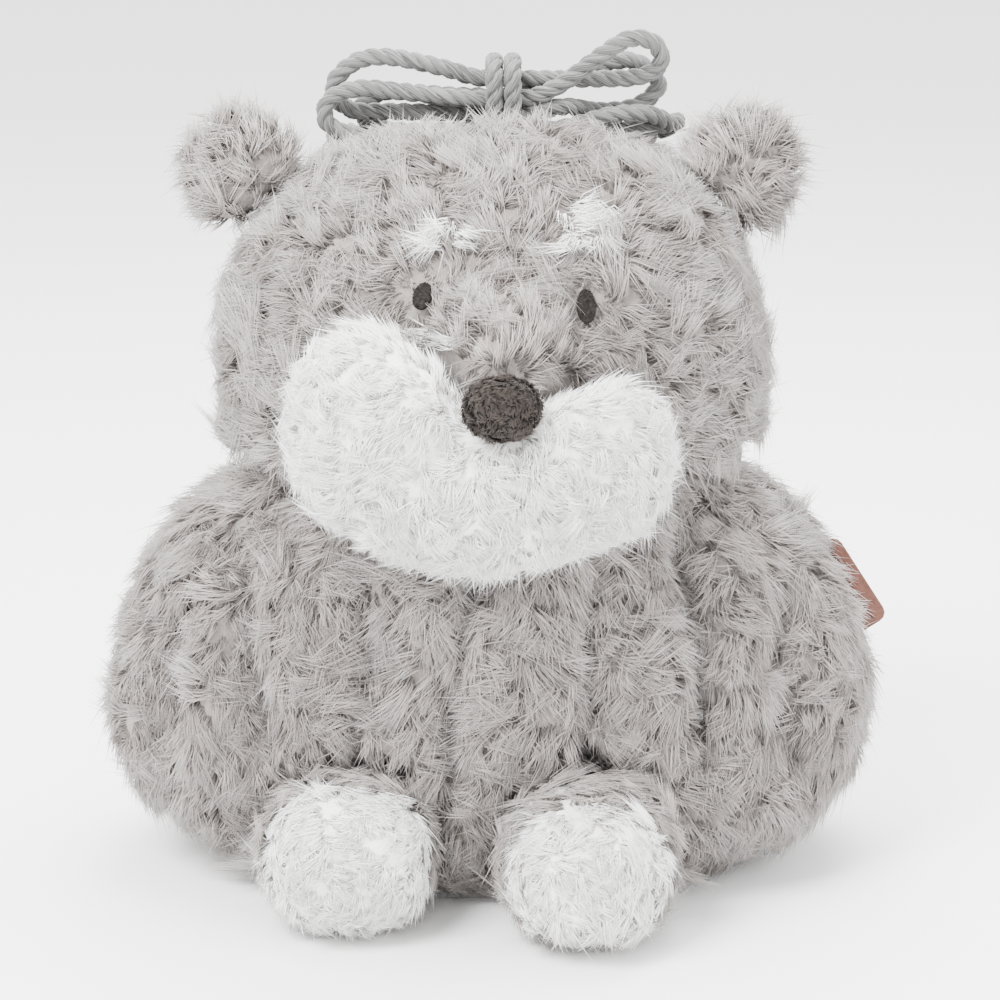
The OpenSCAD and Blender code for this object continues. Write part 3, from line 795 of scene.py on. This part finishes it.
def make_tag(material, thread):
    """The folded side tag: two layers with rounded corners, a soft fold and a stitched line."""
    low, high = (np.array(c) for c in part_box("side_tag"))
    mid = (low + high) / 2
    tilt = math.radians(TAG_TILT)
    out = np.array([math.cos(tilt), 0, math.sin(tilt)])
    along = np.array([-math.sin(tilt), 0, math.cos(tilt)])
    mid = mid - out * TAG_SUNK * MM
    length, width, corner, half_t = TAG_LENGTH, TAG_WIDTH, TAG_CORNER, TAG_HALF_T
    outline = []
    for end in (-1, 1):
        turn = [-90, -60, -30, 0] if end < 0 else [0, 30, 60, 90]
        for a in turn:
            outline.append((width / 2 - corner + corner * math.cos(math.radians(a)),
                            end * (length / 2 - corner) + corner * math.sin(math.radians(a))))
    outline = [(-width / 2 - 2, -length / 2)] + outline + [(-width / 2 - 2, length / 2)]
    flat = np.array(outline)
    layers = []
    for y, scale in (
        (-half_t, 0.97), (-half_t * 0.6, 1.0), (-0.05, 1.0),
        (0.05, 1.0), (half_t * 0.6, 1.0), (half_t, 0.97),
    ):
        squeeze = 0.985 if abs(y) < 0.1 else 1.0
        ring = flat * scale * squeeze
        layers.append(mid + (ring[:, :1] * out + ring[:, 1:] * along + np.array([0, y, 0])) * MM)
    n = len(flat)
    v = np.concatenate(layers)
    top = (len(layers) - 1) * n
    quads = [(r + k, r + (k + 1) % n, r + n + (k + 1) % n, r + n + k)
             for r in range(0, top, n) for k in range(n)]
    mesh = bpy.data.meshes.new("tag_leaf")
    ends = [tuple(range(n))[::-1], tuple(range(top, top + n))]
    mesh.from_pydata(v.tolist(), [], [*quads, *ends])
    mesh.update()
    mesh.materials.append(material)
    tag = bpy.data.objects.new("tag_leaf", mesh)
    bpy.context.scene.collection.objects.link(tag)
    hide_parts("side_tag")
    stitches = []
    for sign in (-1, 1):
        for k in range(13):
            s = (k - 6) * 2.1
            a = mid + (out * -1.4 + along * (s - 0.7) + np.array([0, sign * (half_t + 0.1), 0])) * MM
            b = mid + (out * -1.4 + along * (s + 0.7) + np.array([0, sign * (half_t + 0.1), 0])) * MM
            stitches.append((a, b))
    seam = thread_rows("tag_stitches", stitches, 0.22, thread)
    for o, slot in ((tag, "tag_leather"), (seam, "eye_thread")):
        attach(o, "tag")


def thread_rows(name, runs, radius, material, bow=0.25):
    """Short threads that rise a little in the middle, each a closed tapered tube."""
    verts, faces = [], []
    for a, b in runs:
        a, b = np.array(a), np.array(b)
        t = unit((b - a)[None])[0]
        up = np.array([0, -1.0, 0]) if abs(t[1]) < 0.9 else np.array([1.0, 0, 0])
        s = unit(np.cross(t, up)[None])[0]
        u = np.cross(s, t)
        start = len(verts)
        for f in (0, 0.15, 0.5, 0.85, 1):
            rise = u * math.sin(math.pi * f) * bow * radius * 2 * MM
            r = radius * MM * (0.45 if f in (0, 1) else 1)
            for k in range(6):
                w = 2 * math.pi * k / 6
                verts.append(a + (b - a) * f + rise + (s * math.cos(w) + u * math.sin(w)) * r)
        for j in range(4):
            for k in range(6):
                p, q = start + j * 6 + k, start + j * 6 + (k + 1) % 6
                faces.append((p, q, q + 6, p + 6))
        faces.append(tuple(start + k for k in range(6))[::-1])
        faces.append(tuple(start + 24 + k for k in range(6)))
    mesh = bpy.data.meshes.new(name)
    mesh.from_pydata([tuple(v) for v in verts], [], faces)
    mesh.update()
    mesh.polygons.foreach_set("use_smooth", np.full(len(faces), True))
    mesh.materials.append(material)
    obj = bpy.data.objects.new(name, mesh)
    bpy.context.scene.collection.objects.link(obj)
    return obj


def thread_material():
    s = Shader("eye_thread", roughness=0.6, shine=0.12)
    n = s.node("ShaderNodeTexNoise", Scale=1.2, Detail=3)
    s.link(s.place(), n.inputs["Vector"])
    s.paint(s.ramp(n.outputs["Fac"], [(0.35, (0.004, 0.0035, 0.003)), (0.65, (0.02, 0.017, 0.015))]))
    s.bump(n.outputs["Fac"], 0.3, 0.1)
    return s.material


def make_eye(name, node, head_tree, half, material, tilt):
    """A satin-stitched oval: threads laid side by side."""
    low, high = (np.array(c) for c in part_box(node))
    mid = (low + high) / 2
    runs = []
    rows = int(half[1] * 2 / 0.36)
    for i in range(rows):
        z = (i + 0.5) / rows * 2 - 1
        w = math.sqrt(max(0.02, 1 - z * z)) * half[0]
        ends = []
        for sgn in (-1, 1):
            x, dz = sgn * w, z * half[1] + sgn * w * tilt
            p = mid + np.array([x, 0, dz]) * MM
            hit = head_tree.ray_cast(Vector((p[0], -0.2, p[2])), Vector((0, 1, 0)), 0.3)
            y = hit[0].y if hit[0] is not None else mid[1]
            ends.append(np.array([p[0], y - 3.4 * MM, p[2]]))
        runs.append(ends)
    eye = thread_rows(name, runs, 0.27, material, bow=1.6)
    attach(eye, "head")
    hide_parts(node)
    return eye


def stuffing(name, node, body, material, inset=1.6):
    """Loose fibre that fills one soft part, a little lumpy and just under its cloth."""
    source = NODES[node]
    obj = source.copy()
    obj.data = source.data.copy()
    obj.name = name
    obj.parent = None
    bpy.context.scene.collection.objects.link(obj)
    for key in list(obj.keys()):
        del obj[key]
    obj.data.materials.clear()
    obj.data.materials.append(material)
    fine = obj.modifiers.new("even", "REMESH")
    fine.mode = "VOXEL"
    fine.voxel_size = 4 * MM
    with bpy.context.temp_override(object=obj, active_object=obj, selected_objects=[obj]):
        bpy.ops.object.modifier_apply(modifier="even")
    points, normals = points_of(obj), normals_of(obj)
    set_points(obj, points - normals * ((inset + 0.9 * wobble(points, 9, 17)) * MM)[:, None])
    obj.data.polygons.foreach_set("use_smooth", np.full(len(obj.data.polygons), True))
    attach(obj, body)
    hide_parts(node)
    return obj


# ---------------------------------------------------------------- the toy

def centre_of(*nodes):
    corners = [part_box(n) for n in nodes]
    low = np.min([np.array(c[0]) for c in corners], axis=0)
    high = np.max([np.array(c[1]) for c in corners], axis=0)
    return (low + high) / 2


def down(place, _facing):
    """Pile combed down, as it hangs."""
    comb = np.zeros_like(place)
    comb[:, 2] = -1
    return comb


def away_from(centre, sink=0.0):
    """Pile combed out from a point, with some share of hanging down."""
    def comb(place, _facing):
        v = unit(place - centre)
        v[:, 2] -= sink
        return v
    return comb


REAR_SHARE = 0.68              # the share of tufts that a part's rear keeps
SHORTEST = 0.12                # tufts trimmed below this share of their length go


def fur(name, under, body, slot, material, per_cm2, length, comb, keep=None, seed=1,
        trim=None, nodes=(), **style):
    """Grows one part's pile: per_cm2 tufts of a length in millimetres, laid by comb."""
    rng = np.random.default_rng(seed)
    faces, points = triangles_of(under), points_of(under)
    a, b, c = (points[faces[:, k]] for k in range(3))
    area = np.linalg.norm(np.cross(b - a, c - a), axis=1).sum() / 2 * 1e4
    place, facing = scatter(under, int(area * per_cm2), rng, keep)
    thin = rng.random(len(place)) < np.where(facing[:, 1] > 0.4, REAR_SHARE, 1)
    place, facing = place[thin], facing[thin]
    long = length * rng.uniform(0.82, 1.15, len(place))
    combed = comb(place, facing)
    if trim:
        factor, push = trim(place)
        alive = factor > SHORTEST
        place, facing = place[alive], facing[alive]
        combed, long = combed[alive] + push[alive], (long * factor)[alive]
    grown = grow(place, facing, combed, long, rng, **style)
    return pile_pieces(name, grown, material, body, nodes)


def build():
    grey, white = pile("grey_pile", **GREY), pile("white_pile", **WHITE)
    dark = pile("nose_pile", **DARK)
    grey_back = backing("grey_backing", (0.185, 0.163, 0.151), (0.25, 0.224, 0.21))
    white_back = backing("white_backing", (0.86, 0.85, 0.83), (0.93, 0.92, 0.91))
    dark_back = backing("nose_backing", (0.02, 0.016, 0.014), (0.045, 0.035, 0.03))
    cloth = woven("crown_cloth", (0.16, 0.145, 0.137), (0.24, 0.22, 0.21), 0.9, 0.25)
    base_cloth = woven("base_cloth", (0.19, 0.168, 0.155), (0.27, 0.243, 0.228), 0.8, 0.3)
    loose = fibre("polyester_fibre")
    thread = thread_material()
    cord = cotton("cotton_cord", (0.03, 0.03, 0.03), (0.2, 0.2, 0.196))
    make_cord(cord)
    make_crown(cloth)
    make_tag(leather("tag_leather"), thread)
    for node, body in (
        ("body_filling", "torso"), ("neck_filling", "neck"), ("head_filling", "head"),
        ("muzzle_filling", "head"), ("left_ear_filling", "left_ear"),
        ("right_ear_filling", "right_ear"), ("left_leg_filling", "left_leg"),
        ("right_leg_filling", "right_leg"), ("tail_filling", "tail"),
    ):
        material = grey_back if body == "neck" else loose
        stuffing(node.replace("filling", "stuffing"), node, body, material,
                 5.5 if body == "torso" else 1.6)
    base = NODES["base_panel"]
    base.data.materials.clear()
    base.data.materials.append(base_cloth)

    # skins
    inset = 2.6
    body_skin = skin("body_skin", ["body_front_panel", "body_back_panel", "body_filling", "base_panel"],
                     vec(0, 0, 60), 1.2, 6, grey_back, shape=shape_body)
    nodes = ["head_front_panel", "head_back_panel", "head_filling", "muzzle_bridge"]
    head_skin = skin("head_skin", nodes, vec(0, 0, 182), inset, 6, grey_back, shape=shape_head)
    muzzle_skin = skin("muzzle_skin", ["muzzle_cover"], vec(-3, -75, 141), inset, 5, white_back,
                       shape=shape_small)
    nose_skin = skin("nose_skin", ["nose"], centre_of("nose"), 1.0, 4, dark_back)
    legs = {}
    for side in ("left", "right"):
        hip = centre_of(f"{side}_leg_cuff", f"{side}_paw_cover")
        nodes = [f"{side}_leg_cuff", f"{side}_paw_cover"]
        legs[side] = skin(f"{side}_leg_skin", nodes, hip, 2.2, 5, white_back, shape=shape_small)
    ears = {}
    for side in ("left", "right"):
        nodes = [f"{side}_ear_front", f"{side}_ear_back"]
        ears[side] = skin(f"{side}_ear_skin", nodes, centre_of(*nodes), 0.8, 5, grey_back, rounds=2)
    tail_skin = skin("tail_skin", ["tail_cover"], centre_of("tail_cover"), 2.0, 4, grey_back)
    for obj, body, nodes in (
        (body_skin, "torso", ("body_front_panel", "body_back_panel")),
        (head_skin, "head", ("head_front_panel", "head_back_panel", "muzzle_bridge")),
        (muzzle_skin, "head", ("muzzle_cover",)),
        (nose_skin, "head", ("nose",)),
        (legs["left"], "left_leg", ("left_leg_cuff", "left_paw_cover")),
        (legs["right"], "right_leg", ("right_leg_cuff", "right_paw_cover")),
        (ears["left"], "left_ear", ("left_ear_front", "left_ear_back")),
        (ears["right"], "right_ear", ("right_ear_front", "right_ear_back")),
        (tail_skin, "tail", ("tail_cover",)),
    ):
        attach(obj, body)
        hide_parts(*nodes)

    # the face's landmarks
    head_tree = tree_of(head_skin)
    muzzle_tree, nose_tree = tree_of(muzzle_skin), tree_of(nose_skin)
    leg_trees = [tree_of(legs["left"]), tree_of(legs["right"])]
    eyes = {"left_eye": (3.0, 3.5, 0.3), "right_eye": (2.9, 4.6, -0.15)}
    for node, (w, h, tilt) in eyes.items():
        make_eye(f"{node}_stitching", node, head_tree, (w, h), thread, tilt)
    eye_mid = {n: centre_of(n) for n in eyes}
    nose_mid = centre_of("nose")
    brow_mid = {n: centre_of(n) for n in ("left_brow", "right_brow")}

    def trim_face(place):
        factor = np.ones(len(place))
        push = np.zeros_like(place)
        for mid in eye_mid.values():
            d = near(place, mid, (4.3, 12, 5.2))
            factor = np.minimum(factor, np.clip((d - 0.75) / 0.8, 0.0, 1))
            push += unit(place - mid) * np.clip(2.2 - d, 0, 1.5)[:, None] * 2
        d = near(place, nose_mid, (10.5, 13, 8.5))
        factor = np.minimum(factor, np.clip((d - 0.75) / 0.45, 0, 1))
        push += unit(place - nose_mid) * np.clip(1.9 - d, 0, 1)[:, None] * 2
        return factor, push

    def in_brow(place):
        hit = np.zeros(len(place), bool)
        for name, size in (("left_brow", (7, 16, 3.5)), ("right_brow", (8.5, 16, 6.5))):
            hit |= near(place, brow_mid[name] - vec(0, 0, 3), size) + 0.12 * wobble(place, 5, 41) < 1
        return hit

    bridge = centre_of("muzzle_bridge")

    def in_flank(place):
        """The white pile of the left cheek, which goes some way up the bridge."""
        x, z = (place[:, 0] - bridge[0]) / MM, (place[:, 2] - bridge[2]) / MM
        edge = -11 + 0.12 * z + 1.2 * wobble(place, 6, 43)
        ceiling = 5 + 1.5 * wobble(place, 7, 44)
        return (x < edge) & (x > -36) & (z > -22) & (z < ceiling) & (place[:, 1] < -50 * MM)

    under_muzzle = covered_by([muzzle_tree, nose_tree], 22)
    neck = vec(0, 0, 85)

    def head_keep(place, facing):
        outside = (place[:, 2] > 119 * MM) & (facing[:, 2] > -0.75)
        low = place[:, 2] < 130 * MM
        outside &= ~(low & (np.linalg.norm(place - neck, axis=1) < 73 * MM))
        outside[outside] &= ~under_muzzle(place[outside], facing[outside])
        return outside

    def head_grey(place, facing):
        return head_keep(place, facing) & ~in_brow(place) & ~in_flank(place)

    def head_brow(place, facing):
        return in_brow(place) & (facing[:, 1] < 0)

    def head_flank(place, facing):
        return in_flank(place) & head_keep(place, facing)

    under_legs = covered_by(leg_trees, 14)

    def body_keep(place, facing):
        keep = (place[:, 2] > 3 * MM) & (facing[:, 2] > -0.93)
        keep &= ~((place[:, 2] > 127 * MM) & (np.hypot(place[:, 0] / 74, place[:, 1] / 58) < MM))
        keep &= place[:, 2] < 142 * MM
        keep[keep] &= ~under_legs(place[keep], facing[keep])
        return keep

    tag_mid = centre_of("side_tag")

    def trim_tag(place):
        d = near(place, tag_mid, (13, 16, 20))
        return np.clip((d - 0.45) / 0.7, 0.2, 1), np.zeros_like(place)

    # pile
    fur("body_fur", body_skin, "torso", "grey_pile", grey, 18, 10, down, body_keep, seed=11,
        low=0.4, trim=trim_tag)
    fur("head_fur", head_skin, "head", "grey_pile", grey, 18, 9.5,
        away_from(vec(2, -86, 160), 0.2), head_grey, seed=12, trim=trim_face)
    fur("brow_fur", head_skin, "head", "white_pile", white, 30, 9, down, head_brow,
        seed=13, nodes=("left_brow", "right_brow"), lift=0.85, girth=0.17)
    cheek_comb = away_from(vec(2, -84, 158), 0.25)
    fur("muzzle_fur", muzzle_skin, "head", "white_pile", white, 24, 7, cheek_comb,
        lambda p, n: p[:, 1] < -50 * MM, seed=15, trim=trim_face, girth=0.17, spread=1.3)
    fur("cheek_fur", head_skin, "head", "white_pile", white, 24, 7, cheek_comb,
        head_flank, seed=14, trim=trim_face, girth=0.17, spread=1.3)
    fur("nose_fur", nose_skin, "head", "nose_pile", dark, 130, 2.2,
        away_from(nose_mid + vec(0, 6, 3)), seed=16, strands=5, spread=0.6, girth=0.15, lift=0.85)
    for i, side in enumerate(("left", "right")):
        split = np.array(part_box(f"{side}_paw_cover")[1])[1]
        hip = centre_of(f"{side}_leg_cuff", f"{side}_paw_cover")
        comb = away_from(hip + vec(0, 24, 10), 0.15)
        leg, ear_body = f"{side}_leg", f"{side}_ear"
        fur(f"{side}_cuff_fur", legs[side], leg, "grey_pile", grey, 18, 8.5, comb,
            lambda p, n, s=split: (p[:, 1] > s) & (p[:, 1] < -44 * MM), seed=20 + i, low=0.4)
        fur(f"{side}_paw_fur", legs[side], leg, "white_pile", white, 24, 6.5, comb,
            lambda p, n, s=split: p[:, 1] <= s, seed=22 + i, low=0.4, girth=0.17, spread=1.3)
        ear = centre_of(f"{side}_ear_front", f"{side}_ear_back")
        root = ear - vec(-8 if side == "left" else 8, 0, 8)
        fur(f"{side}_ear_fur", ears[side], ear_body, "grey_pile", grey, 20, 9,
            away_from(root, 0.1), seed=24 + i)
    fur("tail_fur", tail_skin, "tail", "grey_pile", grey, 18, 9,
        away_from(vec(0, 60, 40), 0.2), seed=28)


make_camera()
make_studio()
build()
